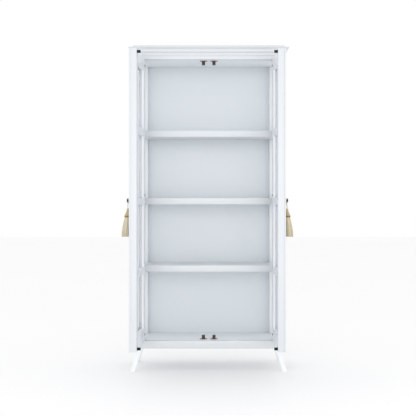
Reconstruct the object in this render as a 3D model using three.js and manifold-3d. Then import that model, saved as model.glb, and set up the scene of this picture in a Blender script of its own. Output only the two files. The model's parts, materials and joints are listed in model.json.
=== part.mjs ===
// Tall curio cabinet on sabre legs, with glazed sides and two glazed doors standing open.
// Millimetres, +Z up, the front faces -Y. The origin is the middle of the footprint, on the floor.
import * as THREE from 'three';
import * as BufferGeometryUtils from 'three/addons/utils/BufferGeometryUtils.js';
import Module from 'manifold-3d';

const wasm = await Module();
wasm.setup();

// ---- driving dimensions ----
const glueGap = 0.3;            // between pieces that are glued or screwed together
const weldDistance = 1e-4;

const overallHeight = 2028;
const legHeight = 140;
const baseRailHeight = 48;
const crownHeight = 50;
const topCapThickness = 12;
const crownStart = 24;          // plain rail left showing under the crown moulding
const crownProjection = 32;
// The crown's moulding, as shares of its projection and height.
const crownBeadOut = 0.16;
const crownBeadHigh = 0.12;
const crownMidOut = 0.56;
const crownMidUp = 0.4;
const crownLowerCoveOut = 0.8;  // of the middle bead's projection
const crownTipHigh = 0.12;
const lowerCoveSteps = 4;
const upperCoveSteps = 5;
const capOverhang = 6;          // top cap beyond the case, front and sides

const caseHalfWidth = 466;
const caseDepth = 376;
const interiorHalfWidth = 400;
const sideFrameThickness = 18.5;
const sideStile = 92;
const sideRearStile = 62;
const sideRailLap = 8;          // frame lapping over the side pane, all round
const paneThickness = 4;
const cornerPostDepth = 36;
const rearPostDepth = 40;
const backPanelThickness = 12;
const backPanelInset = 2;
const railThickness = 22;
const boardThickness = 18;      // floor and ceiling boards

const shelfThickness = 40;
const shelfPitch = 424;
const shelfCount = 3;
const middleShelfTop = 1078;    // above the floor
const shelfSetback = 4;         // shelf front behind the closed doors' stop line

const doorThickness = 45;
const doorGap = 3;              // door to floor, ceiling and meeting line
const doorHingeGap = 1.5;       // pin axis to the door's hinge edge, and to the case lip
const doorStopGap = 3;          // closed door to the corner post behind it
const pinProud = 4.5;           // pin axis in front of the closed door
const doorStile = 60;
const doorTopRail = 66;
const doorBottomRail = 78;
const doorLip = 16;             // outer thickness of the frame in front of the glass
const glazingRebate = 8;        // how far the glass seats into the frame
const glassClearance = 0.4;
const gridFlat = 14;            // full-width inner part of the glazing grid
const gridGroove = 5;           // how far the grid steps back beside the glass
const quirkSize = 1.5;
const quirkFromFace = 8;
const leftDoorOpen = 92.3;      // degrees from closed, as the cabinet stands
const rightDoorOpen = 90.3;

const hingeHeight = 60;
const hingeFromEnd = 40;
const hingeBarrelRadius = 4;
const hingePinRadius = 1.9;
const hingeBoreRadius = 2.1;
const hingeLeafThickness = 1.2;
const hingeLeafWidth = 34;
const hingeTabHeight = 14;
const hingeTabLength = 16;
const hingeTabThickness = 1.4;
const hingeKnuckleGap = 0.4;
const hingeSides = 20;
const hingeLeafFromPin = 0.2;   // leaf face to the pin's plane
const hingePinInset = 1;        // pin end to barrel end
const overlap = 1;              // how far joined or cut pieces run into each other

const knobHeight = 1063;        // above the floor
const knobPlateRadius = 21;
const knobPlateThickness = 3;
const knobNeckRadius = 5;
const knobNeckLength = 6;
const knobHeadRadius = 13;
const knobHeadThickness = 6;
const knobPlateEase = 2;        // slope of the plate's rim
const knobHeadShape = [[0.85, 0], [1, 0.4], [0.7, 0.85], [0, 1]]; // shares of its radius and thickness
const roundSides = 32;

const tasselLoopWire = 1.6;     // radius of the hanging loop's cord
const tasselLoopDrop = 46;      // knob axis to the top of the tassel head
const tasselHeadHeight = 46;
const tasselHeadTopRadius = 5;
const tasselNeckRadius = 14;
const tasselSkirtLength = 118;
const tasselSkirtRadius = 22;
const tasselDoorClearance = 1.5;
const tasselSides = 24;
// The tassel's outline, as shares of its own radii and lengths.
const tasselShoulderOut = 0.7;
const tasselShoulderDown = 0.35;
const tasselNeckIn = 0.86;
const tasselNeckRise = 4;
const tasselNeckDrop = 5;
const tasselSkirtMidOut = 0.86;
const tasselLoopFoot = 0.6;     // half width of the loop's foot, of the head's top radius
const tasselLoopSink = 3;       // loop into the head
const tasselEyeRise = 12;       // bottom of the loop's eye above the loop's foot
const tasselLoopSteps = 10;

const catchFromCentre = 33;
const catchBodyWidth = 20;
const catchBodyHeight = 24;
const catchBodyDepth = 30;
const catchFlangeWidth = 44;
const catchFlangeThickness = 2;
const catchTouchGap = 1;
const strikeReach = 20;
const strikeSize = 15;
const strikeFootWidth = 30;
const strikeFootThickness = 2;
const strikeInset = 18;         // strike centre from the opening's top or bottom

const legTopWidth = 51;
const legWaistPull = 15;        // width that the leg's taper is drawn towards at mid height
const legFootWidth = 37;
const legTopInset = 7;
const legFootFlare = 26;
const legFlarePower = 2.2;
const legSteps = 12;

// ---- derived levels and planes ----
const openingBottom = legHeight + baseRailHeight;
const openingTop = overallHeight - topCapThickness - crownHeight - crownStart;
const openingHeight = openingTop - openingBottom; // floor board to ceiling board
const crownBottom = openingTop + crownStart;
const crownTop = crownBottom + crownHeight;
const sideInner = caseHalfWidth - sideFrameThickness;
const stopPlane = doorThickness + doorStopGap;
const frontPostBack = stopPlane + cornerPostDepth;
const backPanelFront = caseDepth - backPanelInset - backPanelThickness;
const rearPostFront = backPanelFront - rearPostDepth;
const sidePaneFace = sideInner - glueGap;
const shelfReach = sidePaneFace - paneThickness - glueGap;
const pinX = sideInner - doorHingeGap;
const doorBottom = openingBottom + doorGap;
const doorHeight = openingHeight - 2 * doorGap;
const shelfTops = Array.from({ length: shelfCount },
  (_, i) => middleShelfTop + (i - (shelfCount - 1) / 2) * shelfPitch);

// ---- finishes ----
const finish = (color, roughness, metalness = 0) =>
  new THREE.MeshStandardMaterial({ color, roughness, metalness });
const paintedCase = finish(0xe9edf0, 0.45);
const paintedBack = finish(0xdde3e7, 0.5);
const clearGlass = new THREE.MeshStandardMaterial({
  color: 0xf2f7f6, roughness: 0.05, metalness: 0, transparent: true, opacity: 0.25 });
const darkBronze = finish(0x2b2420, 0.4, 0.8);
const brownPlastic = finish(0x4a1f1a, 0.5);
const blackSteel = finish(0x141414, 0.45, 0.4);
const goldThread = finish(0xcbb489, 0.8);

const model = new THREE.Group();

// ---- helpers ----
function add(parent, name, geometry, material) {
  const mesh = new THREE.Mesh(geometry, material);
  mesh.name = name;
  parent.add(mesh);
  return mesh;
}

function block(x0, x1, y0, y1, z0, z1) {
  const box = new THREE.BoxGeometry(Math.abs(x1 - x0), y1 - y0, z1 - z0);
  return box.translate((x0 + x1) / 2, (y0 + y1) / 2, (z0 + z1) / 2);
}

function outline(points) {
  return new THREE.Shape(points.map(([x, y]) => new THREE.Vector2(x, y)));
}

// A plan outline raised from z0 to z1.
function raised(points, z0, z1) {
  const solid = new THREE.ExtrudeGeometry(outline(points), { depth: z1 - z0, bevelEnabled: false });
  return solid.translate(0, 0, z0);
}

function welded(geometry) {
  const bare = geometry.clone();
  bare.deleteAttribute('normal');
  bare.deleteAttribute('uv');
  return BufferGeometryUtils.mergeVertices(bare, weldDistance);
}

function toSolid(geometry) {
  const merged = welded(geometry);
  return new wasm.Manifold(new wasm.Mesh({
    numProp: 3,
    vertProperties: new Float32Array(merged.attributes.position.array),
    triVerts: new Uint32Array(merged.index.array),
  }));
}

function toGeometry(solid) {
  const mesh = solid.getMesh();
  const geometry = new THREE.BufferGeometry();
  geometry.setAttribute('position', new THREE.BufferAttribute(new Float32Array(mesh.vertProperties), 3));
  geometry.setIndex(new THREE.BufferAttribute(new Uint32Array(mesh.triVerts), 1));
  return geometry;
}

function joined(geometries) {
  return toGeometry(geometries.map(toSolid).reduce((whole, piece) => whole.add(piece)));
}

// Turns a shape's faces outward when a mirroring placement has turned them in.
function mended(geometry) {
  const merged = welded(geometry);
  const p = merged.attributes.position;
  const index = merged.index.array;
  const corner = [new THREE.Vector3(), new THREE.Vector3(), new THREE.Vector3()];
  let volume = 0;
  for (let i = 0; i < index.length; i += 3) {
    corner.forEach((v, k) => v.fromBufferAttribute(p, index[i + k]));
    volume += corner[0].dot(corner[1].clone().cross(corner[2])) / 6;
  }
  if (volume < 0) {
    for (let i = 0; i < index.length; i += 3) {
      [index[i], index[i + 1]] = [index[i + 1], index[i]];
    }
  }
  return merged;
}

function upright(radius, z0, z1, sides) {
  const rod = new THREE.CylinderGeometry(radius, radius, z1 - z0, sides);
  return rod.rotateX(Math.PI / 2).translate(0, 0, (z0 + z1) / 2);
}

// ---- case ----
// A board between the sides, notched round the four corner posts.
function notchedBoard(front, z0, z1) {
  const narrow = interiorHalfWidth - glueGap;
  const postFront = stopPlane - glueGap;
  const right = [];
  if (front < postFront) {
    right.push([sideInner - glueGap, front], [sideInner - glueGap, postFront], [narrow, postFront]);
  } else {
    right.push([narrow, front]);
  }
  right.push([narrow, frontPostBack + glueGap], [shelfReach, frontPostBack + glueGap]);
  right.push([shelfReach, rearPostFront - glueGap], [narrow, rearPostFront - glueGap]);
  right.push([narrow, backPanelFront - glueGap]);
  const left = right.map(([x, y]) => [-x, y]).reverse();
  return raised([...right, ...left], z0, z1);
}

function buildBoards() {
  const boardFront = railThickness + glueGap;
  const board = (z0, z1) => notchedBoard(boardFront, z0, z1);
  add(model, 'floor_board', board(openingBottom - boardThickness, openingBottom), paintedCase);
  add(model, 'ceiling_board', board(openingTop, openingTop + boardThickness), paintedCase);
  const levels = ['lower', 'middle', 'upper'];
  shelfTops.forEach((top, i) => {
    const shelf = notchedBoard(stopPlane + shelfSetback, top - shelfThickness, top);
    add(model, `shelf_${levels[i] ?? i + 1}`, shelf, paintedCase);
  });
  const railHalf = sideInner - glueGap;
  const rail = (z0, z1) => block(-railHalf, railHalf, 0, railThickness, z0, z1);
  add(model, 'base_rail', rail(legHeight, openingBottom), paintedCase);
  add(model, 'top_rail', rail(openingTop, crownTop), paintedCase);
  add(model, 'back_panel',
    block(-railHalf, railHalf, backPanelFront, backPanelFront + backPanelThickness, legHeight, crownTop),
    paintedBack);
  const capHalf = caseHalfWidth + capOverhang;
  add(model, 'top_cap',
    block(-capHalf, capHalf, -capOverhang, caseDepth, crownTop + glueGap, overallHeight), paintedCase);
}

// A glazed side: a rectangular frame outside, a pane behind it, and a corner post at each end.
function buildSide(side, label) {
  const rectangle = (y0, y1, z0, z1) => [[y0, z0], [y1, z0], [y1, z1], [y0, z1]];
  const frameOutline = outline(rectangle(0, caseDepth, legHeight, crownTop));
  const light = rectangle(
    sideStile, caseDepth - sideRearStile, openingBottom + sideRailLap, openingTop - sideRailLap).reverse();
  frameOutline.holes.push(new THREE.Path(light.map(([y, z]) => new THREE.Vector2(y, z))));
  const frame = new THREE.ExtrudeGeometry(frameOutline, { depth: sideFrameThickness, bevelEnabled: false });
  // The outline's own x and y become y and z, and its depth becomes x.
  frame.applyMatrix4(new THREE.Matrix4().set(0, 0, 1, 0, 1, 0, 0, 0, 0, 1, 0, 0, 0, 0, 0, 1));
  frame.translate(side > 0 ? sideInner : -caseHalfWidth, 0, 0);
  add(model, `side_frame_${label}`, frame, paintedCase);
  const outer = side * sidePaneFace;
  const pane = block(outer - side * paneThickness, outer, frontPostBack + glueGap, rearPostFront - glueGap,
    openingBottom + glueGap, openingTop - glueGap);
  add(model, `side_glass_${label}`, pane, clearGlass);
  const postInner = side * interiorHalfWidth;
  const postOuter = side * (sideInner - glueGap);
  add(model, `front_post_${label}`,
    block(postInner, postOuter, stopPlane, frontPostBack, legHeight, crownTop), paintedCase);
  add(model, `rear_post_${label}`,
    block(postInner, postOuter, rearPostFront, backPanelFront - glueGap, legHeight, crownTop), paintedCase);
}

// Crown profile as [projection, height]: bead, cove, bead, long cove, tip.
function crownProfile() {
  const beadProjection = crownProjection * crownBeadOut;
  const beadHeight = crownHeight * crownBeadHigh;
  const secondBead = crownProjection * crownMidOut;
  const secondBeadBase = crownHeight * crownMidUp;
  const cove = (p0, z0, p1, z1, steps) => Array.from({ length: steps }, (_, i) => {
    const a = ((i + 1) / (steps + 1)) * Math.PI / 2;
    return [p0 + (p1 - p0) * (1 - Math.cos(a)), z0 + (z1 - z0) * Math.sin(a)];
  });
  const lowerCoveEnd = secondBead * crownLowerCoveOut;
  const tipBase = crownHeight * (1 - crownTipHigh);
  const coveStart = secondBeadBase + beadHeight;
  return [
    [glueGap, 0], [beadProjection, 0], [beadProjection, beadHeight],
    ...cove(beadProjection, beadHeight, lowerCoveEnd, secondBeadBase, lowerCoveSteps),
    [lowerCoveEnd, secondBeadBase],
    [secondBead, secondBeadBase], [secondBead, coveStart],
    ...cove(secondBead, coveStart, crownProjection, tipBase, upperCoveSteps), [crownProjection, tipBase],
    [crownProjection, crownHeight], [glueGap, crownHeight],
  ];
}

// The crown's profile is drawn out along a face, and each end is slid by its own projection into a mitre.
function crownRun(length, mitreStart, mitreEnd) {
  const run = new THREE.ExtrudeGeometry(outline(crownProfile()), { depth: length, bevelEnabled: false });
  const at = run.attributes.position;
  for (let i = 0; i < at.count; i += 1) {
    const projection = at.getX(i);
    if (at.getZ(i) < length / 2) {
      at.setZ(i, mitreStart * (projection - glueGap));
    } else {
      at.setZ(i, length + mitreEnd * (projection - glueGap));
    }
  }
  return run;
}

function buildCrown() {
  const front = crownRun(2 * caseHalfWidth, -1, 1);
  // The profile's x becomes -y and its y becomes z, and the run's length becomes x.
  front.applyMatrix4(new THREE.Matrix4().set(
    0, 0, 1, -caseHalfWidth,
    -1, 0, 0, 0,
    0, 1, 0, crownBottom,
    0, 0, 0, 1));
  add(model, 'crown_front', mended(front), paintedCase);
  for (const [side, label] of [[-1, 'left'], [1, 'right']]) {
    const run = crownRun(caseDepth, -1, 0);
    // The profile's x points outward along x, its y becomes z, and the run's length becomes y.
    run.applyMatrix4(new THREE.Matrix4().set(
      side, 0, 0, side * caseHalfWidth,
      0, 0, 1, glueGap,
      0, 1, 0, crownBottom,
      0, 0, 0, 1));
    add(model, `crown_${label}`, mended(run), paintedCase);
  }
}

// ---- legs ----
// A square section that tapers and sweeps outward to the foot. sweepY is 0 where the back stays straight.
function sabreLeg(side, facing, sweepY) {
  const width = new THREE.QuadraticBezierCurve(
    new THREE.Vector2(0, legTopWidth),
    new THREE.Vector2(0.5, legWaistPull),
    new THREE.Vector2(1, legFootWidth));
  const height = legHeight - glueGap;
  const leg = new THREE.BoxGeometry(1, 1, height, 1, 1, legSteps).translate(0.5, 0.5, height / 2);
  const at = leg.attributes.position;
  for (let i = 0; i < at.count; i += 1) {
    const down = 1 - at.getZ(i) / height;
    const flare = -legTopInset + (legTopInset + legFootFlare) * down ** legFlarePower;
    const thick = width.getPoint(down).y;
    const flareY = sweepY ? flare : -legTopInset;
    at.setX(i, side * (caseHalfWidth + flare - thick * (1 - at.getX(i))));
    const out = flareY - thick * (1 - at.getY(i));
    at.setY(i, facing < 0 ? -out : caseDepth + out);
  }
  return mended(leg);
}

function buildLegs() {
  for (const [side, sideLabel] of [[-1, 'left'], [1, 'right']]) {
    for (const [facing, endLabel] of [[-1, 'front'], [1, 'rear']]) {
      add(model, `leg_${endLabel}_${sideLabel}`, sabreLeg(side, facing, facing < 0), paintedCase);
    }
  }
}

// ---- doors ----
// Everything on a door is laid out closed, from its pin axis:
// u runs to the free edge, v runs inward, z is height.
function doorShapes(side) {
  const place = (u0, u1, v0, v1, z0, z1) => block(-side * u0, -side * u1, v0, v1, z0, z1);
  const plan = (points, z0, z1) => raised(points.map(([u, v]) => [-side * u, v]), z0, z1);
  return { place, plan };
}

function buildDoor(side, label, openAngle) {
  const { place, plan } = doorShapes(side);
  const door = new THREE.Group();
  door.position.set(side * pinX, -pinProud, 0);
  door.rotation.z = side * THREE.MathUtils.degToRad(openAngle);
  model.add(door);

  const hingeEdge = doorHingeGap;
  const freeEdge = pinX - doorGap;
  const outerFace = pinProud;
  const innerFace = pinProud + doorThickness;
  const lipFace = outerFace + doorLip;
  const top = doorBottom + doorHeight;
  const lightBottom = doorBottom + doorBottomRail;
  const lightTop = top - doorTopRail;
  const hingeSight = hingeEdge + doorStile;
  const freeSight = freeEdge - doorStile;

  const hingeStile = [
    [hingeEdge, outerFace], [hingeSight, outerFace], [hingeSight, lipFace],
    [hingeSight - glazingRebate, lipFace], [hingeSight - glazingRebate, innerFace], [hingeEdge, innerFace],
  ];
  add(door, `door_${label}_hinge_stile`, plan(hingeStile, doorBottom, top), paintedCase);
  const quirkIn = freeEdge - quirkSize;
  const quirkNear = outerFace + quirkFromFace;
  const freeStile = [
    [freeSight, outerFace], [freeEdge, outerFace], [freeEdge, quirkNear], [quirkIn, quirkNear],
    [quirkIn, quirkNear + quirkSize], [freeEdge, quirkNear + quirkSize], [freeEdge, innerFace],
    [freeSight + glazingRebate, innerFace], [freeSight + glazingRebate, lipFace], [freeSight, lipFace],
  ];
  add(door, `door_${label}_free_stile`, plan(freeStile, doorBottom, top), paintedCase);

  const railStart = hingeSight + glueGap;
  const railEnd = freeSight - glueGap;
  const rail = (z0, z1, rebateAt) => {
    const lip = place(railStart, railEnd, outerFace, lipFace, z0, z1);
    const low = rebateAt === 'bottom' ? z0 + glazingRebate : z0;
    const high = rebateAt === 'top' ? z1 - glazingRebate : z1;
    const body = place(railStart, railEnd, lipFace - overlap, innerFace, low, high);
    return joined([lip, body]);
  };
  add(door, `door_${label}_top_rail`, rail(lightTop, top, 'bottom'), paintedCase);
  add(door, `door_${label}_bottom_rail`, rail(doorBottom, lightBottom, 'top'), paintedCase);

  // The pane seats in the rebate of the stiles and rails, against the outer lip.
  const seat = glazingRebate - glassClearance;
  const paneFront = lipFace + glueGap;
  const paneBack = paneFront + paneThickness;
  add(door, `door_${label}_glass`,
    place(railStart, railEnd, paneFront, paneBack, lightBottom - seat, lightTop + seat), clearGlass);

  // The glazing grid holds the pane: a bead frame with a bar at each shelf.
  const gridFront = paneBack + glueGap;
  const stepPlane = innerFace - gridFlat;
  const gridU0 = hingeSight - glazingRebate + glueGap;
  const gridU1 = freeSight + glazingRebate - glueGap;
  const gridZ0 = lightBottom - glazingRebate + glueGap;
  const gridZ1 = lightTop + glazingRebate - glueGap;
  const bead = glazingRebate + gridGroove;
  const holeEnds = [gridZ0 + bead, ...shelfTops.flatMap((t) => [t - shelfThickness, t]), gridZ1 - bead];
  const flat = toSolid(place(railStart, railEnd, stepPlane, innerFace, gridZ0, gridZ1));
  const stepped = toSolid(place(railStart, railEnd, gridFront, stepPlane + overlap, gridZ0, gridZ1));
  let grid = flat.add(stepped);
  const sight = [gridU0 + bead, gridU1 - bead];
  for (let i = 0; i < holeEnds.length; i += 2) {
    const wide = place(sight[0], sight[1], stepPlane, innerFace + overlap, holeEnds[i], holeEnds[i + 1]);
    const groove = place(sight[0] - gridGroove, sight[1] + gridGroove, gridFront - overlap, stepPlane,
      holeEnds[i], holeEnds[i + 1]);
    grid = grid.subtract(toSolid(wide)).subtract(toSolid(groove));
  }
  add(door, `door_${label}_glazing_grid`, toGeometry(grid), paintedCase);

  addKnob(door, label, side, freeEdge - doorStile / 2, outerFace);
  addStrikes(door, label, plan, innerFace);
  addHinges(door, label, side, innerFace);
}

// Turned about an axis square to the door's outer face.
function addKnob(door, label, side, u, outerFace) {
  const headBase = knobPlateThickness + knobNeckLength;
  const head = knobHeadShape.map(([out, up]) => [knobHeadRadius * out, headBase + knobHeadThickness * up]);
  const profile = [
    [0, 0], [knobPlateRadius, 0], [knobPlateRadius, knobPlateThickness / 2],
    [knobPlateRadius - knobPlateEase, knobPlateThickness], [knobNeckRadius, knobPlateThickness],
    [knobNeckRadius, headBase], ...head,
  ];
  const knob = new THREE.LatheGeometry(profile.map(([x, y]) => new THREE.Vector2(x, y)), roundSides);
  knob.rotateX(Math.PI).translate(-side * u, outerFace - glueGap, knobHeight);
  add(door, `knob_${label}`, mended(knob), darkBronze);
  addTassel(door, label, side, u, outerFace);
}

// Head and skirt lean away from the door so that the skirt's inner side hangs close beside it.
function addTassel(door, label, side, u, outerFace) {
  const loopOut = knobPlateThickness + knobNeckLength / 2 + glueGap;
  const headTop = -tasselLoopDrop;
  const skirtTop = headTop - tasselHeadHeight;
  const bottom = skirtTop - tasselSkirtLength;
  const profile = [
    [0, headTop], [tasselHeadTopRadius, headTop],
    [tasselNeckRadius * tasselShoulderOut, headTop - tasselHeadHeight * tasselShoulderDown],
    [tasselNeckRadius, skirtTop + tasselNeckRise], [tasselNeckRadius * tasselNeckIn, skirtTop],
    [tasselNeckRadius, skirtTop - tasselNeckDrop],
    [tasselSkirtRadius * tasselSkirtMidOut, skirtTop - tasselSkirtLength / 2],
    [tasselSkirtRadius, bottom], [0, bottom],
  ];
  const turned = [...profile].reverse().map(([x, y]) => new THREE.Vector2(x, y));
  const body = new THREE.LatheGeometry(turned, tasselSides);
  body.rotateX(Math.PI / 2);
  const rings = profile.slice(1, -1);
  const at = body.attributes.position;
  for (let i = 0; i < at.count; i += 1) {
    const ring = rings.reduce((near, r) => (
      Math.abs(r[1] - at.getZ(i)) < Math.abs(near[1] - at.getZ(i)) ? r : near));
    at.setY(i, at.getY(i) - Math.max(loopOut, ring[0] + tasselDoorClearance));
  }
  // A closed band of cord over the knob's neck and down into the tassel's head.
  const loopRadius = knobNeckRadius + glueGap;
  const band = new THREE.Shape();
  const outerR = loopRadius + 2 * tasselLoopWire;
  const low = headTop - tasselLoopSink;
  const foot = tasselHeadTopRadius * tasselLoopFoot;
  band.moveTo(-foot, low);
  band.lineTo(-outerR, 0);
  band.absarc(0, 0, outerR, Math.PI, 0, true);
  band.lineTo(foot, low);
  const eye = new THREE.Path();
  eye.moveTo(0, low + tasselEyeRise);
  eye.lineTo(loopRadius, 0);
  eye.absarc(0, 0, loopRadius, 0, Math.PI, false);
  band.holes.push(eye);
  const loop = new THREE.ExtrudeGeometry(band, {
    depth: 2 * tasselLoopWire, bevelEnabled: false, curveSegments: tasselLoopSteps });
  loop.rotateX(Math.PI / 2).translate(0, -loopOut + tasselLoopWire, 0);
  const whole = joined([mended(body), loop]);
  whole.translate(-side * u, outerFace, knobHeight);
  add(door, `tassel_${label}`, whole, goldThread);
}

// Angle strikes on the inner face, one near each end of the meeting edge.
function addStrikes(door, label, plan, innerFace) {
  const centreU = pinX - catchFromCentre;
  const foot = innerFace + glueGap;
  const step = foot + strikeFootThickness;
  const tip = innerFace + strikeReach;
  const half = strikeSize / 2;
  const wide = strikeFootWidth / 2;
  const tee = [[-wide, foot], [wide, foot], [wide, step], [half, step], [half, tip],
    [-half, tip], [-half, step], [-wide, step]].map(([u, v]) => [centreU + u, v]);
  for (const [z, end] of [[openingTop - strikeInset, 'top'], [openingBottom + strikeInset, 'bottom']]) {
    add(door, `strike_${label}_${end}`, plan(tee, z - half, z + half), blackSteel);
  }
}

const hingeLevels = [
  ['top', doorBottom + doorHeight - hingeFromEnd],
  ['middle', doorBottom + doorHeight / 2 + hingeHeight / 2],
  ['bottom', doorBottom + hingeFromEnd],
];

// Knuckles in thirds round the pin: the case leaf carries the outer two and the pin.
function addHinges(door, label, side, innerFace) {
  const third = hingeHeight / 3;
  const leafNear = hingeLeafFromPin;
  const leafFar = leafNear + hingeLeafThickness;
  const leafBack = hingeLeafWidth;
  for (const [end, centre] of hingeLevels) {
    const z0 = centre - hingeHeight / 2;
    const knuckle = (a, b) => upright(hingeBarrelRadius, a, b, hingeSides);
    const leafAt = (a, b, u0, u1, v1) => block(-side * u0, -side * u1, 0, v1, a, b);
    const gap = hingeKnuckleGap;
    const z3 = z0 + hingeHeight;

    const keepClear = (a, b) => upright(hingeBarrelRadius + gap, a, b, hingeSides);
    let caseLeaf = toSolid(leafAt(z0, z3, -leafNear, -leafFar, leafBack));
    caseLeaf = caseLeaf.subtract(toSolid(keepClear(z0 + third - gap / 2, z3 - third + gap / 2)));
    caseLeaf = caseLeaf.add(toSolid(knuckle(z0, z0 + third - gap / 2)));
    caseLeaf = caseLeaf.add(toSolid(knuckle(z3 - third + gap / 2, z3)));
    const pin = upright(hingePinRadius, z0 + hingePinInset, z3 - hingePinInset, hingeSides);
    caseLeaf = caseLeaf.add(toSolid(pin));
    const still = new THREE.Group();
    still.position.set(side * pinX, -pinProud, 0);
    model.add(still);
    add(still, `hinge_${label}_${end}_case_leaf`, toGeometry(caseLeaf), darkBronze);

    let doorLeaf = toSolid(leafAt(z0, z3, leafNear, leafFar, leafBack));
    doorLeaf = doorLeaf.subtract(toSolid(keepClear(z0 - overlap, z0 + third + gap / 2)));
    doorLeaf = doorLeaf.subtract(toSolid(keepClear(z3 - third - gap / 2, z3 + overlap)));
    doorLeaf = doorLeaf.add(toSolid(knuckle(z0 + third + gap / 2, z3 - third - gap / 2)));
    const tabLow = centre - hingeTabHeight / 2;
    const tabHigh = centre + hingeTabHeight / 2;
    const tabBack = innerFace + glueGap + hingeTabThickness;
    const tabPiece = (u1, v0) => block(-side * leafNear, -side * u1, v0, tabBack, tabLow, tabHigh);
    const wrap = tabPiece(leafFar, leafBack - overlap);
    const tab = tabPiece(leafNear + hingeTabLength, innerFace + glueGap);
    doorLeaf = doorLeaf.add(toSolid(wrap)).add(toSolid(tab));
    doorLeaf = doorLeaf.subtract(toSolid(upright(hingeBoreRadius, z0, z3, hingeSides)));
    add(door, `hinge_${label}_${end}_door_leaf`, toGeometry(doorLeaf), darkBronze);
  }
}

// ---- catches ----
// A flanged magnetic catch under the ceiling and on the floor, behind each closed door's strike.
function buildCatches() {
  const front = doorThickness + strikeReach + catchTouchGap;
  for (const [side, label] of [[-1, 'left'], [1, 'right']]) {
    for (const [end, level, up] of [['top', openingTop, -1], ['bottom', openingBottom, 1]]) {
      const half = catchBodyWidth / 2;
      const flange = catchFlangeWidth / 2;
      const base = level + up * glueGap;
      const step = base + up * catchFlangeThickness;
      const tip = base + up * catchBodyHeight;
      const tee = outline([[-flange, base], [flange, base], [flange, step], [half, step], [half, tip],
        [-half, tip], [-half, step], [-flange, step]]);
      const body = new THREE.ExtrudeGeometry(tee, { depth: catchBodyDepth, bevelEnabled: false });
      body.rotateX(Math.PI / 2).scale(1, -1, 1);
      body.translate(side * catchFromCentre, front, 0);
      add(model, `catch_${label}_${end}`, mended(body), brownPlastic);
    }
  }
}

buildBoards();
buildSide(-1, 'left');
buildSide(1, 'right');
buildCrown();
buildLegs();
buildDoor(-1, 'left', leftDoorOpen);
buildDoor(1, 'right', rightDoorOpen);
buildCatches();

// The origin goes to the middle of the footprint, open doors included.
const footprint = new THREE.Box3().setFromObject(model, true);
model.position.y = -(footprint.min.y + footprint.max.y) / 2;
model.position.x = -(footprint.min.x + footprint.max.x) / 2;

export default model;
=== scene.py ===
import json
import math
import random

import bmesh
import bpy
from mathutils import Matrix, Vector


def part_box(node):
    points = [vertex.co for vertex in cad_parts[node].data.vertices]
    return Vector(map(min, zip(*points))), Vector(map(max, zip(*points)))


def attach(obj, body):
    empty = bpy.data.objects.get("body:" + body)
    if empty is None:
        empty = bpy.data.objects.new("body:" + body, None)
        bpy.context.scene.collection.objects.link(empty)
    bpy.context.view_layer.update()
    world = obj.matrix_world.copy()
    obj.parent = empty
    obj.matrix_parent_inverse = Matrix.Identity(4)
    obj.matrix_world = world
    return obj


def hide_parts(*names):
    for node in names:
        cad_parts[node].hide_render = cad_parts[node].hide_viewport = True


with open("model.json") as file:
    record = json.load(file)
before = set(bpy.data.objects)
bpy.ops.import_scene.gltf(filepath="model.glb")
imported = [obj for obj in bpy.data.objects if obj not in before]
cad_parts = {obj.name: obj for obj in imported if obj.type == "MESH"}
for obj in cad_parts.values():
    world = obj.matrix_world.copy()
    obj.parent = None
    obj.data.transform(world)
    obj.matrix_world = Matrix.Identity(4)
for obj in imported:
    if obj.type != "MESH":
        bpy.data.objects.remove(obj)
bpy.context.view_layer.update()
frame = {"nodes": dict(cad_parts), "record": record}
nodes = frame["nodes"]
record = frame["record"]
body_of_node = {n: body for body, members in record["behaviour"]["bodies"].items() for n in members}
slot_of_node = {s["node"]: s["material_slot"] for s in record["subparts"]}
joints = {j["name"]: j for j in record["behaviour"]["joints"]}

MM = 0.001
UP = Vector((0, 0, 1))
SIDES = ("left", "right")
GLUE_GAP = 0.3 * MM


def corners(node):
    return tuple(Vector(corner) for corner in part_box(node))


# ---------------------------------------------------------------- camera
case_front = corners("side_frame_left")[0].y
case_middle = (corners("side_frame_left")[0].x + corners("side_frame_right")[1].x) / 2
CAMERA_DISTANCE = 5.75
EYE_HEIGHT = 1.0746
LENS = 79.9
SENSOR_WIDTH = 36
SHIFT_X = -0.0017
SHIFT_Y = -0.0228
FARTHEST_SEEN = 60

camera_data = bpy.data.cameras.new("camera")
camera_data.lens = LENS
camera_data.sensor_width = SENSOR_WIDTH
camera_data.shift_x = SHIFT_X
camera_data.shift_y = SHIFT_Y
camera_data.clip_end = FARTHEST_SEEN
camera = bpy.data.objects.new("camera", camera_data)
camera.location = (case_middle, case_front - CAMERA_DISTANCE, EYE_HEIGHT)
camera.rotation_euler = (math.pi / 2, 0, 0)
bpy.context.scene.collection.objects.link(camera)
bpy.context.scene.camera = camera


# ---------------------------------------------------------------- shader writing
# Sockets that share a name with another are reached by their place on the node.
UV_COORDINATES = 2
OBJECT_COORDINATES = 3
MIX_FIRST = 6
MIX_SECOND = 7
MIX_RESULT = 2
WAVE_FACTOR = 1


class Wire:
    """A socket that takes part in sums; each sum adds its Math node."""

    def __init__(self, finish, socket):
        self.finish = finish
        self.socket = socket

    def _sum(self, operation, first, second):
        return self.finish.node("ShaderNodeMath", {"operation": operation}, {0: first, 1: second})

    def __add__(self, other):
        return self._sum("ADD", self, other)

    __radd__ = __add__

    def __mul__(self, other):
        return self._sum("MULTIPLY", self, other)

    __rmul__ = __mul__

    def __sub__(self, other):
        return self._sum("SUBTRACT", self, other)

    def __rsub__(self, other):
        return self._sum("SUBTRACT", other, self)

    def __pow__(self, other):
        return self._sum("POWER", self, other)


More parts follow.
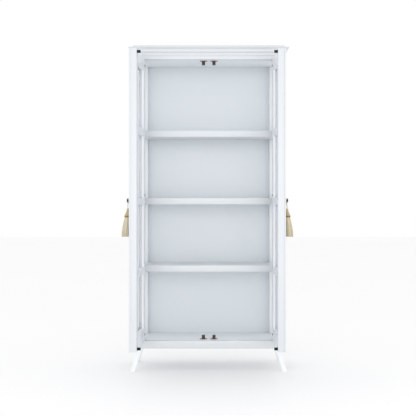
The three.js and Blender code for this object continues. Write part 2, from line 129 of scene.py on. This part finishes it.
class Finish:
    """A material with one Principled shader and the nodes that feed it."""

    def __init__(self, name, **constants):
        self.material = bpy.data.materials.new(name)
        self.material.use_nodes = True
        self.tree = self.material.node_tree
        self.shader = self.tree.nodes["Principled BSDF"]
        self.feed(**constants)

    def node(self, kind, settings=None, sockets=None, out=0):
        """Adds a node: its settings first, then the values or links of its sockets."""
        made = self.tree.nodes.new(kind)
        for key, value in (settings or {}).items():
            setattr(made, key, value)
        for key, value in (sockets or {}).items():
            self.join(value, made.inputs[key])
        return Wire(self, made.outputs[out])

    def join(self, value, socket):
        if isinstance(value, Wire):
            self.tree.links.new(value.socket, socket)
        else:
            socket.default_value = value

    def feed(self, **values):
        for key, value in values.items():
            self.join(value, self.shader.inputs[key.replace("_", " ")])

    def place(self, scale=(1, 1, 1)):
        coordinates = self.node("ShaderNodeTexCoord", out=OBJECT_COORDINATES)
        return self.node("ShaderNodeMapping", {}, {"Vector": coordinates, "Scale": scale})

    def noise(self, scale, stretch=(1, 1, 1), detail=3.0, roughness=0.5):
        return self.node("ShaderNodeTexNoise", {}, {
            "Vector": self.place(stretch), "Scale": scale, "Detail": detail, "Roughness": roughness})

    def blend(self, share, first, second):
        return self.node("ShaderNodeMix", {"data_type": "RGBA"},
                         {0: share, MIX_FIRST: (*first, 1), MIX_SECOND: (*second, 1)}, out=MIX_RESULT)

    def relief(self, height, strength, distance):
        normal = self.node("ShaderNodeBump", {}, {
            "Height": height, "Strength": strength, "Distance": distance})
        self.feed(Normal=normal)


# ---------------------------------------------------------------- finishes
GRAIN = {"upright": (1, 1, 0.04), "across": (0.04, 1, 1), "deep": (1, 0.04, 1)}


def painted_wood(name, light, shade, direction):
    """Sprayed paint over wood: faint brush grain, slow tone drift, a little orange peel in the sheen."""
    paint = Finish(name, IOR=1.45, Coat_Weight=0.12, Coat_Roughness=0.25)
    drift = paint.noise(2.2, detail=2)
    grain = paint.noise(420, GRAIN[direction], detail=4, roughness=0.6)
    peel = paint.noise(900, detail=1)
    # The drift and grain run between the two tones at random. The pair itself is a copy of the one white:
    # painted light for inside pieces and painted shade for front pieces, picked in paint_for.
    paint.feed(Base_Color=paint.blend(drift * 0.6 + grain * 0.25, light, shade))
    paint.feed(Roughness=0.34 + drift * 0.12 + peel * 0.06)
    paint.relief(grain * 0.8 + peel * 0.2, 0.16, 0.4 * MM)
    return paint.material


def clear_glass():
    """Thin float glass: nearly clear, faintly green, with a trace of handling haze."""
    glass = Finish("clear_glass", Base_Color=(0.86, 0.92, 0.90, 1), IOR=1.5)
    haze = glass.noise(5, detail=3)
    glass.feed(Alpha=0.07 + haze * 0.05, Roughness=0.02 + haze * 0.05)
    return glass.material


def aged_metal(name, dark, worn, metallic=1.0, roughness=0.34):
    """Metal with slow patches of wear and a fine pitting."""
    metal = Finish(name, Metallic=metallic)
    patches = metal.noise(60, detail=4, roughness=0.65)
    specks = metal.noise(700, detail=2)
    metal.feed(Base_Color=metal.blend(patches ** 2.2, dark, worn))
    metal.feed(Roughness=roughness + patches * 0.2)
    metal.relief(specks, 0.15, 0.1 * MM)
    return metal.material


def moulded_plastic(name, dark, light):
    """Plastic with the fine texture of its mould."""
    plastic = Finish(name, IOR=1.46)
    texture = plastic.noise(1500, detail=1)
    plastic.feed(Base_Color=plastic.blend(plastic.noise(90), dark, light))
    plastic.feed(Roughness=0.42 + texture * 0.15)
    plastic.relief(texture, 0.2, 0.05 * MM)
    return plastic.material


def thread(name, deeper_tone_with_groove_shade, paler_tone_with_ridge_light):
    """Rayon thread: twist runs up each strand in its own map, with a soft silky sheen."""
    yarn = Finish(name, Sheen_Weight=0.35, Sheen_Roughness=0.4, IOR=1.4)
    mapped = yarn.node("ShaderNodeTexCoord", out=UV_COORDINATES)
    twist_with_groove_shade = yarn.node("ShaderNodeTexWave", {"bands_direction": "DIAGONAL"}, {
        "Vector": mapped, "Scale": 6.0, "Distortion": 0.6, "Detail": 1.0}, out=WAVE_FACTOR)
    tone = yarn.noise(260, (1, 1, 0.1), detail=2)
    # Colour runs between the deeper and the paler tone by a random tone along the strands and, for a
    # quarter, by the twist. The twist's darker bands are painted shade in its grooves; its paler bands are
    # painted light on its ridges.
    yarn.feed(Base_Color=yarn.blend(tone * 0.75 + twist_with_groove_shade * 0.25, deeper_tone_with_groove_shade, paler_tone_with_ridge_light))
    yarn.feed(Roughness=0.42 + twist_with_groove_shade * 0.2)
    yarn.relief(twist_with_groove_shade, 0.5, 0.25 * MM)
    return yarn.material


# Each white is a pair of paint tones that the drift and grain run between. The cabinet has one white paint.
# The front pair is a darker copy of it, painted shade against the front lamps. The case-inside, back and
# door-inside pairs are lighter copies, painted light against the shade that falls inside.
FRONT_TONES_PAINTED_SHADE = ((0.715, 0.74, 0.77), (0.68, 0.705, 0.735))
CASE_INSIDE_TONES_PAINTED_LIGHT = ((0.89, 0.915, 0.94), (0.855, 0.885, 0.91))
BACK_TONES_PAINTED_LIGHT = ((0.80, 0.84, 0.87), (0.765, 0.805, 0.84))
DOOR_INSIDE_TONES_PAINTED_LIGHT = ((0.78, 0.81, 0.84), (0.745, 0.775, 0.81))
# Pieces that take a lighter copy of the one white: painted light where shade falls on them.
CASE_PIECES_PAINTED_LIGHTER = ("side_frame", "floor_board", "ceiling_board", "rear_post", "front_post", "leg")
DOOR_PIECES_PAINTED_LIGHTER = ("glazing_grid", "hinge_stile", "door_left_top", "door_left_bottom",
                     "door_right_top", "door_right_bottom")
glass_finish = clear_glass()
bronze = aged_metal("dark_bronze", (0.022, 0.018, 0.016), (0.11, 0.08, 0.055))
black_steel = aged_metal("black_steel", (0.006, 0.006, 0.006), (0.02, 0.02, 0.02), 0.5, 0.4)
zinc = aged_metal("zinc_plate", (0.38, 0.38, 0.39), (0.55, 0.55, 0.55), 1.0, 0.38)
catch_plastic = moulded_plastic("red_brown_plastic", (0.035, 0.008, 0.008), (0.07, 0.018, 0.014))
flange_plastic = moulded_plastic("pale_brown_plastic", (0.20, 0.15, 0.14), (0.30, 0.24, 0.22))
skirt_thread = thread("skirt_thread", (0.40, 0.34, 0.21), (0.80, 0.73, 0.55))
head_thread = thread("head_thread", (0.34, 0.25, 0.11), (0.72, 0.60, 0.36))
collar_thread = thread("collar_thread", (0.13, 0.085, 0.03), (0.36, 0.26, 0.11))
deep_thread = thread("deep_thread", (0.25, 0.19, 0.09), (0.56, 0.46, 0.27))
loop_thread = thread("loop_thread", (0.45, 0.41, 0.30), (0.78, 0.73, 0.60))
paints = {}


def paint_for(node):
    """The paint of a piece, with its grain along the piece's longest side. Front pieces take the darker
    copy of the one white (painted shade); back, case-inside and door-inside pieces take lighter copies
    (painted light).
    """
    low, high = corners(node)
    size = high - low
    direction = ("across", "deep", "upright")[max(range(3), key=lambda axis: size[axis])]
    if slot_of_node[node] == "painted_back":
        kind, painted_light_and_shade_tones = "back", BACK_TONES_PAINTED_LIGHT
    elif any(part in node for part in CASE_PIECES_PAINTED_LIGHTER):
        kind, painted_light_and_shade_tones = "inner", CASE_INSIDE_TONES_PAINTED_LIGHT
    elif any(part in node for part in DOOR_PIECES_PAINTED_LIGHTER):
        kind, painted_light_and_shade_tones = "door", DOOR_INSIDE_TONES_PAINTED_LIGHT
    else:
        kind, painted_light_and_shade_tones = "front", FRONT_TONES_PAINTED_SHADE
    # The material's name keeps front, inner, back or door: which copy of the one white it is, painted shade
    # for the front and painted light for the rest.
    key = f"painted_{kind}_{direction}"
    if key not in paints:
        paints[key] = painted_wood(key, *painted_light_and_shade_tones, direction)
    return paints[key]


# ---------------------------------------------------------------- making pieces
def finish_piece(name, shape, materials, body, replaced=(), smooth_angle=None):
    """Turns a bmesh into an object in place, riding on a body."""
    mesh = bpy.data.meshes.new(name)
    shape.to_mesh(mesh)
    shape.free()
    for material in materials:
        mesh.materials.append(material)
    if smooth_angle is not None:
        mesh.shade_smooth()
        mesh.set_sharp_from_angle(angle=math.radians(smooth_angle))
    piece = bpy.data.objects.new(name, mesh)
    bpy.context.scene.collection.objects.link(piece)
    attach(piece, body)
    if replaced:
        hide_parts(*replaced)
    return piece


def stand_in(node, ending, shape, materials, smooth_angle):
    """A finished piece in the place of a node."""
    finish_piece(node + ending, shape, materials, body_of_node[node],
                 replaced=[node], smooth_angle=smooth_angle)


WELD = 0.02 * MM
FLAT = math.radians(0.5)
ARRIS = math.radians(30)
DEFAULT_EASE = 1.2 * MM
EASE = {"leg": 3.0 * MM, "shelf": 2.0 * MM, "top_cap": 1.6 * MM, "crown": 0.7 * MM}


def eased_copy(node, width):
    """A node's shape with its flat faces made whole and its arrises rounded over."""
    shape = bmesh.new()
    shape.from_mesh(nodes[node].data)
    bmesh.ops.remove_doubles(shape, verts=shape.verts, dist=WELD)
    bmesh.ops.dissolve_limit(shape, angle_limit=FLAT, verts=shape.verts, edges=shape.edges)
    arrises = [e for e in shape.edges if e.is_manifold and e.calc_face_angle(0) > ARRIS]
    bmesh.ops.bevel(shape, geom=arrises, offset=width, segments=2, profile=0.5, affect="EDGES",
                    clamp_overlap=True, material=-1)
    for face in shape.faces:
        face.material_index = 0
    return shape


def ease_joinery():
    """Every painted piece, eased as sanded and painted wood is."""
    for node in sorted(nodes):
        if slot_of_node[node].startswith("painted"):
            width = next((w for start, w in EASE.items() if node.startswith(start)), DEFAULT_EASE)
            stand_in(node, "_eased", eased_copy(node, width), [paint_for(node)], 35)


def recoat(node, material):
    data = nodes[node].data
    data.materials.clear()
    data.materials.append(material)


def screw_head(shape, centre, outward, radius):
    """A low screw head with a sunk recess for its driver."""
    outward = Vector(outward)
    turn = UP.rotation_difference(outward).to_matrix().to_4x4()
    made = bmesh.ops.create_cone(shape, cap_ends=True, segments=20, radius1=radius, radius2=radius * 0.82,
                                 depth=0.7 * MM)
    bmesh.ops.transform(shape, matrix=Matrix.Translation(centre) @ turn, verts=made["verts"])
    caps = {f for v in made["verts"] for f in v.link_faces if len(f.verts) > 4}
    outer = max(caps, key=lambda f: f.calc_center_median().dot(outward))
    bmesh.ops.inset_individual(shape, faces=[outer], thickness=radius * 0.35, depth=-0.3 * MM)


# ---------------------------------------------------------------- catches
FLANGE = 2.05 * MM
FLANGE_MARGIN = 0.2 * MM
FLANGE_SCREW_OUT = 16 * MM
CASE, FLANGE_FACE, SCREW = range(3)


def build_catch(node):
    """A red-brown magnet case on a paler flange held by two screws."""
    low, high = corners(node)
    up = -1 if node.endswith("top") else 1
    level = (high.z if up < 0 else low.z) + up * FLANGE
    shape = eased_copy(node, 0.5 * MM)
    for face in shape.faces:
        above = up * (face.calc_center_median().z - level)
        face.material_index = FLANGE_FACE if above < FLANGE_MARGIN else CASE
    middle = (low + high) / 2
    catch_faces = set(shape.faces)
    for side in (-1, 1):
        place = Vector((middle.x + side * FLANGE_SCREW_OUT, middle.y, level))
        screw_head(shape, place, (0, 0, up), 3 * MM)
    for face in shape.faces:
        if face not in catch_faces:
            face.material_index = SCREW
    stand_in(node, "_detailed", shape, [catch_plastic, flange_plastic, zinc], 40)


# ---------------------------------------------------------------- knobs and tassels
LOOP_FROM_DOOR = 6.0 * MM       # the loop's plane, half way along the knob's neck
LOOP_DROP = 46 * MM
HEAD_HEIGHT = 46 * MM
SKIRT_RISE = 1.5 * MM           # lowest strand above the foot of the tassel's room
DOOR_CLEARANCE = 1.5 * MM

# A knob's outline from the door's face: distance out and radius, in millimetres.
KNOB_OUTLINE = (
    (0.3, 0.0), (0.3, 20.6), (1.2, 21.0), (2.0, 20.6), (2.4, 19.4), (2.1, 18.2), (2.3, 17.0),
    (3.0, 15.8), (3.3, 13.0), (3.3, 8.0), (3.9, 6.2), (5.0, 5.0), (8.2, 5.0), (9.0, 6.0),
    (9.4, 9.0), (10.2, 12.0), (11.4, 13.0), (12.8, 12.4), (14.0, 9.5), (14.6, 5.0), (14.8, 0.0))
KNOB_STEPS = 48
KNOB_BEADS = 22
BEAD_RING = 18.3 * MM
BEAD_OUT = 2.4 * MM
BEAD_RADIUS = 1.3 * MM

LOOP_RADIUS = 7.0 * MM
LOOP_STEPS = 24
LOOP_CORD = 1.75 * MM
# Down the loop's two legs: share of the drop and half spread in millimetres.
LOOP_LEGS = ((0.2, 6.9), (0.4, 5.6), (0.6, 4.4), (0.8, 4.2), (1.0, 4.6), (1.25, 5.6))
HEAD_TURNS = 11
HEAD_CORD = 2.15 * MM
COLLAR_TURNS = 4
COLLAR_PITCH = 2.5 * MM
COLLAR_RADIUS = 12.2 * MM
COLLAR_CORD = 1.6 * MM
SKIRT_STRANDS = 210
STRAND_SIDES = 5
STRAND_STEPS = 9
STRAND_TOP = 10.6
GOLDEN_TURN = 0.61803
SKIRT, HEAD, COLLAR, LOOP, DEEP = range(5)
STRAND_TONES = (SKIRT, SKIRT, SKIRT, LOOP, DEEP)
CORE_LEVELS = (0.0, 0.3, 0.65, 0.97)
CORE_SIDES = 24
DRAW_SEED = {"left": 17, "right": 29}


class Hanging:
    """Where a knob and its tassel hang: the door's outward side and the levels down the tassel."""

    def __init__(self, label):
        swing = joints[f"tassel_{label}_swing"]
        self.pivot = Vector(swing["pos_m"])
        self.out = Vector(swing["axis"]).normalized()
        self.along = UP.cross(self.out).normalized()
        self.face = self.pivot - self.out * LOOP_FROM_DOOR
        self.top = self.pivot.z - LOOP_DROP
        self.neck = self.top - HEAD_HEIGHT
        self.length = self.neck - (corners(f"tassel_{label}")[0].z + SKIRT_RISE)

    def centre(self, z, radius):
        """The tassel's middle at a level, far enough out for its radius to clear the door."""
        away = max(LOOP_FROM_DOOR, radius + DOOR_CLEARANCE)
        return Vector((self.face.x, self.face.y, z)) + self.out * away

    def ring(self, z, room, radius, steps):
        middle = self.centre(z, room)
        turns = (math.tau * k / steps for k in range(steps))
        return [middle + (self.out * math.cos(t) + self.along * math.sin(t)) * radius for t in turns]


def flare(t):
    """How far the skirt has spread at a share of its length."""
    return 1 - (1 - t) ** 1.7


def build_knob(label):
    """A turned knob on a plate with a beaded rim."""
    place = Hanging(label)
    side = place.out.orthogonal().normalized()
    shape = bmesh.new()
    outline = [shape.verts.new(place.face + place.out * (away * MM) + side * (radius * MM))
               for away, radius in KNOB_OUTLINE]
    edges = [shape.edges.new(pair) for pair in zip(outline, outline[1:])]
    bmesh.ops.spin(shape, geom=outline + edges, cent=place.face, axis=place.out, dvec=(0, 0, 0),
                   angle=math.tau, steps=KNOB_STEPS, use_merge=True)
    bmesh.ops.remove_doubles(shape, verts=shape.verts, dist=0.01 * MM)
    for i in range(KNOB_BEADS):
        turn = Matrix.Rotation(math.tau * i / KNOB_BEADS, 3, place.out)
        centre = place.face + place.out * BEAD_OUT + (turn @ side) * BEAD_RING
        made = bmesh.ops.create_icosphere(shape, subdivisions=1, radius=BEAD_RADIUS)
        bmesh.ops.translate(shape, vec=centre, verts=made["verts"])
    bmesh.ops.recalc_face_normals(shape, faces=shape.faces)
    stand_in(f"knob_{label}", "_turned", shape, [bronze], 50)


def thread_tube(shape, centres, radius, sides, twists, material, closed=False):
    """A tube through points: circles bridged in turn, with a map that runs along it."""
    last = len(centres) - 1
    rings = []
    for i, centre in enumerate(centres):
        before = centres[i - 1] if i or closed else centre
        after = centres[(i + 1) % len(centres)] if i < last or closed else centre
        turn = UP.rotation_difference(after - before).to_matrix().to_4x4()
        made = bmesh.ops.create_circle(shape, cap_ends=not closed and i in (0, last), segments=sides,
                                       radius=radius(i / last) if callable(radius) else radius)
        bmesh.ops.transform(shape, matrix=Matrix.Translation(centre) @ turn, verts=made["verts"])
        for cap in made["verts"][0].link_faces:
            cap.material_index = material
        rings.append((made["verts"], {e for v in made["verts"] for e in v.link_edges}))
    uv = shape.loops.layers.uv.verify()
    following = rings[1:] + (rings[:1] if closed else [])
    for step, (first, second) in enumerate(zip(rings, following)):
        made = bmesh.ops.bridge_loops(shape, edges=[*first[1], *second[1]])
        place = {v: (k, step) for k, v in enumerate(first[0])}
        place.update({v: (k, step + 1) for k, v in enumerate(second[0])})
        for face in made["faces"]:
            face.material_index = material
            face.smooth = True
            spots = [place[loop.vert] for loop in face.loops]
            wraps = max(k for k, _ in spots) - min(k for k, _ in spots) > 1
            for loop, (k, level) in zip(face.loops, spots):
                around = k + sides if wraps and k == 0 else k
                loop[uv].uv = (2 * around / sides, level * twists / len(following))


def tassel_loop(shape, hang):
    """The cord over the knob's neck, whose legs turn a quarter on their way down."""
    arch = []
    for i in range(LOOP_STEPS + 1):
        a = math.pi * i / LOOP_STEPS
        arch.append(hang.pivot + (hang.along * math.cos(a) + UP * math.sin(a)) * LOOP_RADIUS)
    start = LOOP_LEGS[0][0]
    legs = []
    for side in (-1, 1):
        leg = []
        for t, spread in LOOP_LEGS:
            quarter = (t - start) * math.pi / 1.6
            away = hang.along * math.cos(quarter) + hang.out * math.sin(quarter)
            middle = hang.centre(hang.pivot.z - LOOP_DROP * t, 3.2 * MM + (t - start) * 5.0 * MM)
            leg.append(middle + away * side * spread * MM)
        legs.append(leg)
    thread_tube(shape, legs[1][::-1] + arch + legs[0], LOOP_CORD, 8, 26, LOOP)


def tassel_head(shape, hang):
    """Rings of cord wound down a cone, over a solid core."""
    for i in range(HEAD_TURNS):
        share = (i + 0.5) / HEAD_TURNS
        radius = (2.6 + 9.6 * share) * MM
        winding = hang.ring(hang.top - HEAD_HEIGHT * share * 0.93, radius + 1.6 * MM, radius, 28)
        thread_tube(shape, winding, HEAD_CORD, 7, 40, HEAD, closed=True)
    core = bmesh.ops.create_cone(shape, cap_ends=True, segments=24, radius1=11.4 * MM, radius2=2.4 * MM,
                                 depth=HEAD_HEIGHT * 0.96)
    middle = (hang.top + hang.neck) / 2
    for vert in core["verts"]:
        room = (13.2 if vert.co.z < 0 else 4.4) * MM
        vert.co += hang.centre(middle, room)
        for face in vert.link_faces:
            face.material_index = HEAD


def tassel_collar(shape, hang):
    """Tight turns of darker cord round the neck."""
    for i in range(COLLAR_TURNS):
        z = hang.neck + ((COLLAR_TURNS - 1) / 2 - i) * COLLAR_PITCH
        winding = hang.ring(z, 13.6 * MM, COLLAR_RADIUS, 32)
        thread_tube(shape, winding, COLLAR_CORD, 7, 48, COLLAR, closed=True)


def tassel_skirt(shape, hang, draw):
    """Strands in three layers, each hanging with a slight curl, round a plain core."""
    for i in range(SKIRT_STRANDS):
        layer = (i % 3) / 2
        angle = math.tau * (i * GOLDEN_TURN % 1) + draw.uniform(-0.05, 0.05)
        reach = 20.3 - 5.0 * (1 - layer) + draw.uniform(-0.9, 0.4)
        cut = draw.uniform(0.965, 1.0)
        curl = draw.uniform(-0.5, 0.5)
        phase = draw.uniform(0, math.tau)
        points = []
        for k in range(STRAND_STEPS):
            t = k / (STRAND_STEPS - 1)
            spread = (STRAND_TOP + (reach - STRAND_TOP) * flare(t)) * MM
            wander = curl * math.sin(t * 5 + phase) * MM * t
            z = hang.neck - 1.0 * MM - hang.length * t * cut
            middle = hang.centre(z, (12.0 + 10.0 * flare(t)) * MM)
            points.append(middle + hang.out * (math.cos(angle) * spread + wander)
                          + hang.along * (math.sin(angle) * spread + wander))
        thread_tube(shape, points, strand_radius, STRAND_SIDES, 30, draw.choice(STRAND_TONES))
    rings = []
    for t in CORE_LEVELS:
        made = bmesh.ops.create_circle(shape, cap_ends=t in (CORE_LEVELS[0], CORE_LEVELS[-1]),
                                       segments=CORE_SIDES, radius=(9.6 + 6.4 * flare(t)) * MM)
        middle = hang.centre(hang.neck - hang.length * t, (12.0 + 10.0 * flare(t)) * MM)
        bmesh.ops.translate(shape, vec=middle, verts=made["verts"])
        rings.append({e for v in made["verts"] for e in v.link_edges})
    for first, second in zip(rings, rings[1:]):
        bmesh.ops.bridge_loops(shape, edges=[*first, *second])


def strand_radius(t):
    return (1.15 + 0.15 * math.sin(t * 3)) * MM


def build_tassel(label):
    """Cord loop, wound head, bound collar and a skirt of separate twisted strands."""
    hang = Hanging(label)
    shape = bmesh.new()
    tassel_loop(shape, hang)
    tassel_head(shape, hang)
    tassel_collar(shape, hang)
    tassel_skirt(shape, hang, random.Random(DRAW_SEED[label]))
    bmesh.ops.recalc_face_normals(shape, faces=shape.faces)
    threads = [skirt_thread, head_thread, collar_thread, loop_thread, deep_thread]
    stand_in(f"tassel_{label}", "_thread", shape, threads, 60)


# ---------------------------------------------------------------- other fittings
def build_hardware():
    """Glass and hinges take their finish as they are; strikes and catches are replaced."""
    for node in sorted(nodes):
        kind = slot_of_node[node]
        if kind == "glass":
            recoat(node, glass_finish)
        elif kind == "hinge_bronze":
            recoat(node, bronze)
        elif kind == "strike_black":
            stand_in(node, "_eased", eased_copy(node, 0.6 * MM), [black_steel], 40)
        elif kind == "catch_plastic":
            build_catch(node)


# ---------------------------------------------------------------- beads and screws
BEAD = 9 * MM
BEAD_ROUNDING = 2.4 * MM
BACK_SCREWS = 7
SCREW_INSET = 14 * MM
SCREW_RADIUS = 3.4 * MM


def closed_turn(label):
    """The move that takes a shut door to where it stands."""
    hinge = joints[f"door_{label}_hinge"]
    pin = Vector(hinge["pos_m"])
    turn = Matrix.Rotation(math.radians(-hinge["range_deg"][0]), 4, Vector(hinge["axis"]))
    return Matrix.Translation(pin) @ turn @ Matrix.Translation(-pin)


def extents(node, move):
    """A node's lowest and highest corner once its points are moved."""
    points = [move @ v.co for v in nodes[node].data.vertices]
    return tuple(Vector([pick(p[i] for p in points) for i in range(3)]) for pick in (min, max))


def eased_bar(shape, low, high):
    """A rectangular bar with its long edges rounded over."""
    made = bmesh.ops.create_cube(shape, size=1)
    bmesh.ops.scale(shape, vec=high - low, verts=made["verts"])
    bmesh.ops.translate(shape, vec=(low + high) / 2, verts=made["verts"])
    edges = {e for v in made["verts"] for e in v.link_edges if e.calc_length() > 2 * BEAD}
    bmesh.ops.bevel(shape, geom=list(edges), offset=BEAD_ROUNDING, segments=3, profile=0.5,
                    affect="EDGES", clamp_overlap=True, material=-1)


def bead_frame(shape, low, high, depth_axis):
    """Four bars just inside a light; depth_axis is the axis square to the glass."""
    run = 1 - depth_axis
    for level in (low.z, high.z - BEAD):
        first, second = low.copy(), high.copy()
        first.z, second.z = level, level + BEAD
        eased_bar(shape, first, second)
    for start in (low[run], high[run] - BEAD):
        first, second = low.copy(), high.copy()
        first[run], second[run] = start, start + BEAD
        first.z, second.z = low.z + BEAD, high.z - BEAD
        eased_bar(shape, first, second)


def door_beads(label):
    """A bead frame in the door's outer light, laid out shut and then turned with the door."""
    stand = closed_turn(label)
    shut = stand.inverted()
    lower, upper = (extents(f"door_{label}_{end}_rail", shut) for end in ("bottom", "top"))
    glass_face = extents(f"door_{label}_glass", shut)[0].y - GLUE_GAP
    low = Vector((lower[0].x, glass_face - BEAD * 0.8, lower[1].z))
    high = Vector((lower[1].x, glass_face, upper[0].z))
    shape = bmesh.new()
    bead_frame(shape, low, high, 1)
    bmesh.ops.transform(shape, matrix=stand, verts=shape.verts)
    stile = f"door_{label}_free_stile"
    finish_piece(f"door_{label}_beads", shape, [paint_for(stile)], body_of_node[stile],
                 smooth_angle=35)


def side_beads(label):
    """A bead frame in the side frame's light, against the pane's outer face."""
    frame_node = f"side_frame_{label}"
    frame_low, frame_high = corners(frame_node)
    light = [v.co for v in nodes[frame_node].data.vertices if frame_low.y + MM < v.co.y < frame_high.y - MM]
    glass_low, glass_high = corners(f"side_glass_{label}")
    near = glass_low.x - GLUE_GAP - BEAD if label == "left" else glass_high.x + GLUE_GAP
    shape = bmesh.new()
    bead_frame(shape, Vector((near, min(c.y for c in light), min(c.z for c in light))),
               Vector((near + BEAD, max(c.y for c in light), max(c.z for c in light))), 0)
    finish_piece(f"side_{label}_beads", shape, [paint_for(frame_node)], body_of_node[frame_node],
                 smooth_angle=35)


def back_screws():
    """Screws down both edges and across the ends of the back panel."""
    low, high = corners("back_panel")
    shape = bmesh.new()
    width, height = (high[axis] - low[axis] - 2 * SCREW_INSET for axis in (0, 2))
    for i in range(BACK_SCREWS):
        share = i / (BACK_SCREWS - 1)
        level = low.z + SCREW_INSET + height * share
        spots = [(x, level) for x in (low.x + SCREW_INSET, high.x - SCREW_INSET)]
        if 0 < i < BACK_SCREWS - 1 and i % 2 == 0:
            x = low.x + SCREW_INSET + width * share
            spots += [(x, z) for z in (low.z + SCREW_INSET, high.z - SCREW_INSET)]
        for x, z in spots:
            screw_head(shape, Vector((x, high.y, z)), (0, 1, 0), SCREW_RADIUS)
    finish_piece("back_panel_screws", shape, [zinc], "case", smooth_angle=40)


# ---------------------------------------------------------------- studio
WORLD_LIGHT = 1.0
FRONT_POWER = 78
SIDE_POWER = 6
LIGHT_AIM = (0, 0, 1.0)
FLOOR_REACH = 20


def studio_floor():
    shape = bmesh.new()
    bmesh.ops.create_grid(shape, x_segments=2, y_segments=2, size=FLOOR_REACH)
    mesh = bpy.data.meshes.new("studio_floor")
    shape.to_mesh(mesh)
    shape.free()
    floor = Finish("pale_floor", Roughness=0.8)
    floor.feed(Base_Color=floor.blend(floor.noise(0.8), (0.97, 0.97, 0.97), (0.95, 0.95, 0.955)))
    mesh.materials.append(floor.material)
    piece = bpy.data.objects.new("studio_floor", mesh)
    bpy.context.scene.collection.objects.link(piece)


def soft_light(name, place, size, power):
    data = bpy.data.lights.new(name, "AREA")
    data.shape = "RECTANGLE"
    data.size, data.size_y = size
    data.energy = power
    light = bpy.data.objects.new(name, data)
    light.location = place
    light.rotation_euler = (Vector(LIGHT_AIM) - Vector(place)).to_track_quat("-Z", "Y").to_euler()
    bpy.context.scene.collection.objects.link(light)


def studio():
    studio_floor()
    world = bpy.data.worlds.new("white_room")
    world.use_nodes = True
    background = world.node_tree.nodes["Background"]
    background.inputs["Color"].default_value = (1, 1, 1, 1)
    background.inputs["Strength"].default_value = WORLD_LIGHT
    bpy.context.scene.world = world
    soft_light("front_bank", (0, -6.6, 1.9), (4.0, 3.0), FRONT_POWER)
    soft_light("left_bank", (-4.2, -3.2, 2.2), (2.4, 2.8), SIDE_POWER)
    soft_light("right_bank", (4.2, -3.2, 2.2), (2.4, 2.8), SIDE_POWER)
    bpy.context.scene.view_settings.view_transform = "Standard"
    bpy.context.scene.view_settings.look = "None"


ease_joinery()
build_hardware()
for side_label in SIDES:
    build_knob(side_label)
    build_tassel(side_label)
for side_label in SIDES:
    door_beads(side_label)
    side_beads(side_label)
back_screws()
studio()
